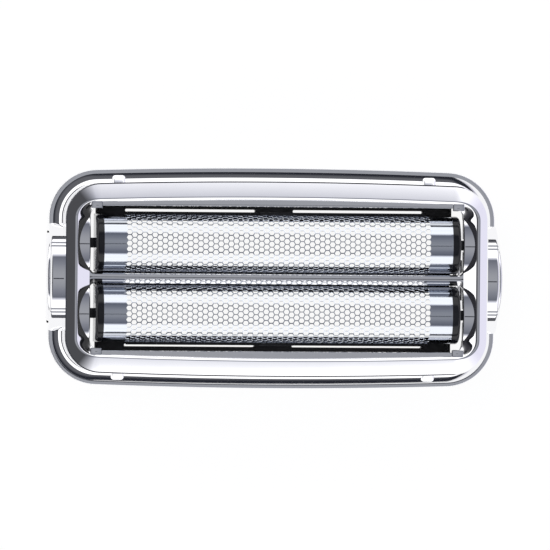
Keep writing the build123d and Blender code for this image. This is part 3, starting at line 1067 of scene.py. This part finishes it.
def uprights(bm):  # stop under a carrier, and the peg inside a float spring
    block(bm, retainer["stopLow"], retainer["stopHigh"], retainer["stopEase"])
    (x, y), half = retainer["pegAt"], retainer["pegHalf"]
    root = (x - half, y - half, retainer["top"] - retainer["pegRoot"])
    block(bm, root, (x + half, y + half, retainer["pegTop"]), retainer["pegEase"])


def buildRetainer():  # inner frame that closes the head from below
    plate = bmesh.new()
    bmesh.ops.create_grid(plate, x_segments=1, y_segments=1, size=0.5)
    halfX, halfY = retainer["half"]
    bmesh.ops.scale(plate, vec=(2 * halfX, 2 * halfY, 1), verts=plate.verts[:])
    bevelled(plate, plate.verts[:], retainer["corner"], retainer["cornerSteps"], "VERTICES")
    bmesh.ops.translate(plate, verts=plate.verts[:], vec=(0, 0, retainer["base"]))
    made = bmesh.ops.extrude_face_region(plate, geom=plate.faces[:])["geom"]
    bmesh.ops.translate(plate, verts=newVerts(made), vec=(0, 0, retainer["top"] - retainer["base"]))
    bmesh.ops.recalc_face_normals(plate, faces=plate.faces[:])
    holes = bmesh.new()
    retainerHoles(holes)
    mirrored(holes, springChannel, ends)
    bm = cutAway(plate, holes)
    shared = [e for e in bm.edges if len(e.link_faces) == 2]
    sharp = [e for e in shared if e.calc_face_angle() > retainer["easeFrom"]]
    bevelled(bm, sharp, retainer["ease"], retainer["easeSteps"])
    mirrored(bm, uprights, quarters)
    mirrored(bm, springSeat, ends)
    return finishPiece("cassetteRetainer", bm, blackMatt, "head", "cassette_retainer")


buildRetainer()

coil = {
    "stepsPerTurn": 28,
    "wireSides": 10,
    "turns": 4.5,
    "floatWire": 0.15,
    "floatRadius": 0.82,
    "buttonWire": 0.14,
    "buttonRadius": 0.8,
    "buttonLevel": 5.8,
}


def coilShell(radius, wire, height):  # a ring of wire spun upwards
    bm = bmesh.new()
    made = bmesh.ops.create_circle(bm, cap_ends=True, radius=wire, segments=coil["wireSides"])
    quarterTurn(bm, made["verts"], "X")
    bmesh.ops.translate(bm, verts=made["verts"], vec=(radius, 0, wire))
    steps = round(coil["turns"] * coil["stepsPerTurn"])
    bmesh.ops.spin(
        bm, geom=bm.faces[:], cent=(0, 0, 0), axis=(0, 0, 1), dvec=(0, 0, (height - 2 * wire) / steps),
        angle=math.radians(360 * coil["turns"]), steps=steps, use_merge=False, use_duplicate=False,
    )
    return bm


def jointTravel(name):  # how far a joint moves, in millimetres
    joint = next(j for j in frame["record"]["behaviour"]["joints"] if j["name"] == name)
    return joint["range_m"][1] / mm


def buildFloatSpring(name, joint, node):  # stands under a carrier
    low, high = nodeBox(node)
    height = high.z - low.z
    x, y = math.copysign(retainer["pegAt"][0], low.x), math.copysign(foil["offset"], low.y)
    bm = coilShell(coil["floatRadius"], coil["floatWire"], height)
    bmesh.ops.translate(bm, verts=bm.verts[:], vec=(x, y, low.z))
    piece = finishPiece(name, bm, springWire, "head", node, seams["wireSharp"])
    keep = 1 - jointTravel(joint) / height
    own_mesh(piece)


def buildButtonSpring(name, sign, joint, node):  # lies behind a button
    low, high = nodeBox(node)
    length = high.x - low.x
    start, level = retainer["channelLow"][0], coil["buttonLevel"]
    bm = coilShell(coil["buttonRadius"], coil["buttonWire"], length)
    quarterTurn(bm, bm.verts[:], "Y")
    bmesh.ops.translate(bm, verts=bm.verts[:], vec=(start, 0, level))
    bmesh.ops.scale(bm, vec=(sign, 1, 1), verts=bm.verts[:])
    piece = finishPiece(name, bm, springWire, "head", node, seams["wireSharp"])
    keep = 1 - jointTravel(joint) / length
    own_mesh(piece)


for row in ("rear", "front"):
    for end in ("Left", "Right"):
        buildFloatSpring(row + end + "FloatSpring", row + "_foil_float", f"{row}_{end.lower()}_float_spring")
buildButtonSpring("rightButtonSpring", 1, "right_button_press", "right_button_spring")
buildButtonSpring("leftButtonSpring", -1, "left_button_press", "left_button_spring")
print("retainer and springs built")

studio = {
    "floorSize": 6.0,
    "floorDrop": 0.00005,
    "floorColour": (0.86, 0.86, 0.87, 1),
    "floorGlow": 0.93,
    "floorShade": (0.1, 0.1, 0.1, 1),
    "tent": [  # brightness by height above the horizon, as the sine of the elevation
        (0.0, (0.95, 0.95, 0.96)),
        (0.2, (1.4, 1.4, 1.41)),
        (0.675, (1.4, 1.4, 1.41)),
        (0.692, (0.97, 0.975, 1.02)),
        (0.73, (0.5, 0.51, 0.58)),
        (0.76, (0.15, 0.16, 0.195)),
        (0.9, (0.235, 0.245, 0.285)),
        (1.0, (0.345, 0.355, 0.385)),
    ],
    "shaded": (0.075, 0.076, 0.083),
    "lilac": (0.6, 0.59, 0.68),
    "gapColour": (0.02, 0.022, 0.03),
    "hazeColour": (0.12, 0.122, 0.135),
    "white": (1.0, 1.0, 1.0),
    "left": (-0.12, 0.3),  # each pair: where a zone of the tent begins, and over how much it fades
    "leftLow": (0.6, 0.04),
    "right": (0.3, 0.4),
    "rightTop": (0.73, 0.05),
    "gapLow": (0.012, 0.01),
    "gapTop": (0.075, 0.025),
    "hazeTop": (0.175, 0.02),
    "gapWider": 0.05,  # how much higher the gap reaches at the two ends
    "slitAt": (0.08, -0.05),
    "slitEnd": (0.07, 0.01),
    "slitSide": (0.019, 0.006),
    "slitLow": (0.93, 0.03),
}


def lightPath(tree, kind):
    return Socket.add(tree, "ShaderNodeLightPath", {}, {}, kind)


def buildFloor():  # pale and plain, and clear when seen from underneath
    bm = bmesh.new()
    bmesh.ops.create_grid(bm, x_segments=1, y_segments=1, size=studio["floorSize"] / 2)
    mesh = bpy.data.meshes.new("floor")
    bm.to_mesh(mesh)
    bm.free()
    floor = bpy.data.objects.new("floor", mesh)
    bpy.context.scene.collection.objects.link(floor)
    floor.location.z = -studio["floorDrop"]
    material = bpy.data.materials.new("paleFloor")
    material.use_nodes = True
    tree = material.node_tree
    tree.nodes.clear()
    seen = lightPath(tree, "Is Camera Ray") + lightPath(tree, "Is Glossy Ray")
    seen = seen + lightPath(tree, "Is Transmission Ray")
    plain = Socket.add(tree, "ShaderNodeBsdfDiffuse", {}, {"Color": studio["floorColour"]})
    shade = Socket.add(tree, "ShaderNodeBsdfDiffuse", {}, {"Color": studio["floorShade"]})
    glow = Socket.add(tree, "ShaderNodeEmission", {}, {"Strength": studio["floorGlow"]})
    white = Socket.add(tree, "ShaderNodeAddShader", {}, {0: shade, 1: glow})
    upper = Socket.add(tree, "ShaderNodeMixShader", {}, {0: seen, 1: plain, 2: white})
    below = Socket.add(tree, "ShaderNodeNewGeometry", {}, {}, "Backfacing")
    clear = Socket.add(tree, "ShaderNodeBsdfTransparent", {}, {})
    mixed = Socket.add(tree, "ShaderNodeMixShader", {}, {0: below, 1: upper, 2: clear})
    output = tree.nodes.new("ShaderNodeOutputMaterial")
    tree.links.new(mixed.out, output.inputs["Surface"])
    mesh.materials.append(material)


def past(value, zone):  # 0 before a zone of the tent begins, 1 once it has faded in
    begin, fade = zone
    return ((value - begin) / fade).clamped()


def within(value, zone):  # 1 inside the zone, fading to 0 at its border
    border, fade = zone
    return ((border - value) / fade).clamped()


def buildWorld():  # a soft tent: grey panel overhead, bright walls, a dark gap just above the horizon
    world = bpy.data.worlds.new("studio")
    bpy.context.scene.world = world
    world.use_nodes = True
    tree = world.node_tree
    place = Socket.add(tree, "ShaderNodeTexCoord", {}, {}, "Generated")
    x, y, z = [Socket.add(tree, "ShaderNodeSeparateXYZ", {}, {"Vector": place}, axis) for axis in "XYZ"]
    colour = Socket.add(tree, "ShaderNodeValToRGB", {"stops": studio["tent"]}, {"Fac": z})
    leftSide = within(x, studio["left"]) * past(z, studio["leftLow"])
    colour = blended(tree, leftSide, colour, studio["shaded"])
    rightWall = past(x, studio["right"]) * within(z, studio["rightTop"])
    colour = blended(tree, rightWall, colour, studio["lilac"], "MULTIPLY")
    height = z - studio["gapWider"] * x * x
    aboveFloor = past(z, studio["gapLow"])
    haze = aboveFloor * within(height, studio["hazeTop"])
    colour = blended(tree, haze, colour, studio["hazeColour"])
    gap = aboveFloor * within(height, studio["gapTop"])
    colour = blended(tree, gap, colour, studio["gapColour"])
    slitX, slitY = studio["slitAt"]  # a narrow dark slit overhead, for the crests of the foils
    slit = within(abs(y - slitY), studio["slitSide"]) * past(z, studio["slitLow"])
    slit = slit * within(abs(x - slitX), studio["slitEnd"])
    colour = blended(tree, slit, colour, studio["gapColour"])
    colour = blended(tree, lightPath(tree, "Is Camera Ray"), colour, studio["white"])
    tree.links.new(colour.out, tree.nodes["Background"].inputs["Color"])


lampLook = {"size": 0.5, "energy": 1.2, "place": (-0.25, 0.2, 0.7)}


def buildLamp():
    data = bpy.data.lights.new("softLamp", "AREA")
    data.shape = "DISK"
    data.size = lampLook["size"]
    data.energy = lampLook["energy"]
    lamp = bpy.data.objects.new("softLamp", data)
    bpy.context.scene.collection.objects.link(lamp)
    lamp.location = lampLook["place"]
    lamp.rotation_euler = (-lamp.location).to_track_quat("-Z", "Y").to_euler()
    lamp.visible_glossy = False


shot = {
    "away": 0.9,
    "leanLeft": 5.0,
    "leanRear": 0.7,
    "roll": 0.5,
    "target": (0.76, 0.4, 0.0),
    "pixel": 0.1313,  # millimetres
    "frame": 550,
    "sensor": 36.0,
    "clip": (0.01, 20.0),
}


def buildCamera():
    data = bpy.data.cameras.new("camera")
    data.sensor_width = shot["sensor"]
    data.lens = data.sensor_width * shot["away"] / (shot["pixel"] * shot["frame"] * mm)
    data.clip_start, data.clip_end = shot["clip"]
    camera = bpy.data.objects.new("camera", data)
    bpy.context.scene.collection.objects.link(camera)
    left, rear = math.radians(shot["leanLeft"]), math.radians(shot["leanRear"])
    back = Vector((-math.sin(left), math.sin(rear), math.cos(left))).normalized()
    sideways = Vector((0, 1, 0)).cross(back).normalized()
    upright = back.cross(sideways)
    turn = Matrix((sideways, upright, back)).transposed().to_4x4()
    spin = Matrix.Rotation(math.radians(shot["roll"]), 4, "Z")
    target = Vector(shot["target"]) * mm
    camera.matrix_world = Matrix.Translation(target + back * shot["away"]) @ turn @ spin
    bpy.context.scene.camera = camera


buildFloor()
buildWorld()
buildLamp()
buildCamera()
bpy.context.scene.view_settings.view_transform = "Standard"
print("studio set")
